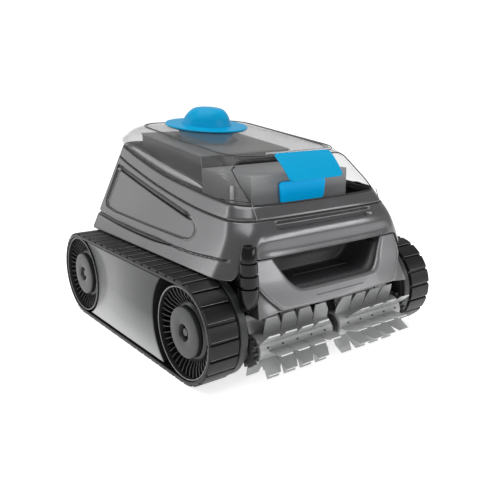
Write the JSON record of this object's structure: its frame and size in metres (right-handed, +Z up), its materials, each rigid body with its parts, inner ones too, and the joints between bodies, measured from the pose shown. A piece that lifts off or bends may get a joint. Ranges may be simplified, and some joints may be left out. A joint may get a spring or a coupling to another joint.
{
  "type": "pool cleaner",
  "caption": "Tracked pool cleaning robot: grey shell, hinged smoked lid with a blue outlet and flap, filter canister, rotary brushes, belts on ribbed wheels, hand grip.",
  "frame": {"origin": "middle of the footprint, on the floor the tracks stand on", "axes": "-Y is the way it drives, +X is its own left side, +Z is up"},
  "size_m": [0.4, 0.4784, 0.3323],
  "materials": {
    "body_grey": "metallic grey moulding",
    "panel_grey": "lighter metallic grey moulding",
    "tub_grey": "plain dark moulding",
    "blue": "glossy blue moulding",
    "smoked_clear": "smoked clear plastic",
    "black_rubber": "matte rubber",
    "silver_cover": "silver lacquered plastic",
    "steel": "turned stainless steel",
    "white_nylon": "white nylon",
    "brass": "machined brass",
    "brush_grey": "soft moulded blades",
    "wheel_black": "satin black moulding",
    "cap_grey": "mid grey moulding"
  },
  "bodies": {
    "base": {"chassis": "tub_grey", "hull": "body_grey", "front_panel": "panel_grey", "handle_pocket": "tub_grey", "motor_box": "tub_grey", "pump_duct": "tub_grey", "canister": "tub_grey", "canister_lid": "smoked_clear", "canister_grip": "cap_grey", "cable_boot": "black_rubber", "brush_bracket": "tub_grey", "intake_duct": "tub_grey", "side_frame_left": "cap_grey", "side_frame_right": "cap_grey", "side_cover_left": "silver_cover", "side_cover_right": "silver_cover", "track_left": "black_rubber", "track_right": "black_rubber", "drive_motor_left": "tub_grey", "drive_motor_right": "tub_grey", "filter_screen_left": "white_nylon", "filter_screen_right": "white_nylon", "axle_front_left": "steel", "axle_front_right": "steel", "axle_rear_left": "steel", "axle_rear_right": "steel"},
    "lid": {"lid": "smoked_clear", "lid_frame": "body_grey", "lid_seal": "black_rubber", "nozzle": "blue", "lid_hinge_pin": "steel"},
    "latch": {"lid_latch": "blue", "latch_pin": "steel"},
    "clip": {"canister_clip": "blue"},
    "flap": {"inlet_flap": "black_rubber"},
    "impeller": {"propeller": "white_nylon", "pump_shaft": "steel"},
    "front_wheel_left": {"wheel_front_left": "wheel_black", "hub_cap_front_left": "cap_grey", "bush_front_left": "white_nylon", "drive_gear_left": "tub_grey"},
    "rear_wheel_left": {"wheel_rear_left": "wheel_black", "hub_cap_rear_left": "cap_grey", "bush_rear_left": "white_nylon"},
    "brush_left": {"brush_core_left": "panel_grey", "brush_sleeve_left": "brush_grey", "brush_gear_left": "tub_grey"},
    "pinion_left": {"motor_pinion_left": "brass"},
    "front_wheel_right": {"wheel_front_right": "wheel_black", "hub_cap_front_right": "cap_grey", "bush_front_right": "white_nylon", "drive_gear_right": "tub_grey"},
    "rear_wheel_right": {"wheel_rear_right": "wheel_black", "hub_cap_rear_right": "cap_grey", "bush_rear_right": "white_nylon"},
    "brush_right": {"brush_core_right": "panel_grey", "brush_sleeve_right": "brush_grey", "brush_gear_right": "tub_grey"},
    "pinion_right": {"motor_pinion_right": "brass"}
  },
  "joints": [
    {"name": "lid_hinge", "type": "hinge", "parent": "base", "child": "lid", "pos_m": [0, 0.2185, 0.255], "axis": [-1, 0, 0], "range_deg": [0, 95]},
    {"name": "latch_hinge", "type": "hinge", "parent": "lid", "child": "latch", "pos_m": [0, -0.13, 0.2785], "axis": [-1, 0, 0], "range_deg": [0, 40], "stiffness_Nm_per_rad": 0.05, "springref_deg": -11.46},
    {"name": "clip_hinge", "type": "hinge", "parent": "base", "child": "clip", "pos_m": [0, -0.1385, 0.212], "axis": [1, 0, 0], "range_deg": [0, 12], "stiffness_Nm_per_rad": 0.05, "springref_deg": -5.73},
    {"name": "inlet_flap_hinge", "type": "hinge", "parent": "base", "child": "flap", "pos_m": [0, -0.0075, 0.179], "axis": [1, 0, 0], "range_deg": [0, 60]},
    {"name": "propeller_spin", "type": "hinge", "parent": "base", "child": "impeller", "pos_m": [0, 0.098, 0.248], "axis": [0, 0, 1], "continuous": true},
    {"name": "front_wheel_left_spin", "type": "hinge", "parent": "base", "child": "front_wheel_left", "pos_m": [0.17, -0.1422, 0.0674], "axis": [1, 0, 0], "continuous": true},
    {"name": "rear_wheel_left_spin", "type": "hinge", "parent": "base", "child": "rear_wheel_left", "pos_m": [0.17, 0.1718, 0.0674], "axis": [1, 0, 0], "continuous": true},
    {"name": "brush_left_spin", "type": "hinge", "parent": "base", "child": "brush_left", "pos_m": [0.07, -0.1946, 0.0464], "axis": [1, 0, 0], "continuous": true},
    {"name": "pinion_left_spin", "type": "hinge", "parent": "base", "child": "pinion_left", "pos_m": [0.13, -0.09268, 0.08542], "axis": [1, 0, 0], "continuous": true},
    {"name": "front_wheel_right_spin", "type": "hinge", "parent": "base", "child": "front_wheel_right", "pos_m": [-0.17, -0.1422, 0.0674], "axis": [1, 0, 0], "continuous": true},
    {"name": "rear_wheel_right_spin", "type": "hinge", "parent": "base", "child": "rear_wheel_right", "pos_m": [-0.17, 0.1718, 0.0674], "axis": [1, 0, 0], "continuous": true},
    {"name": "brush_right_spin", "type": "hinge", "parent": "base", "child": "brush_right", "pos_m": [-0.07, -0.1946, 0.0464], "axis": [1, 0, 0], "continuous": true},
    {"name": "pinion_right_spin", "type": "hinge", "parent": "base", "child": "pinion_right", "pos_m": [-0.13, -0.09268, 0.08542], "axis": [1, 0, 0], "continuous": true}
  ],
  "couplings": [
    {"joint": "rear_wheel_left_spin", "follows": "front_wheel_left_spin", "ratio": 1},
    {"joint": "brush_left_spin", "follows": "front_wheel_left_spin", "ratio": -2},
    {"joint": "pinion_left_spin", "follows": "front_wheel_left_spin", "ratio": -2.5},
    {"joint": "rear_wheel_right_spin", "follows": "front_wheel_right_spin", "ratio": 1},
    {"joint": "brush_right_spin", "follows": "front_wheel_right_spin", "ratio": -2},
    {"joint": "pinion_right_spin", "follows": "front_wheel_right_spin", "ratio": -2.5}
  ]
}
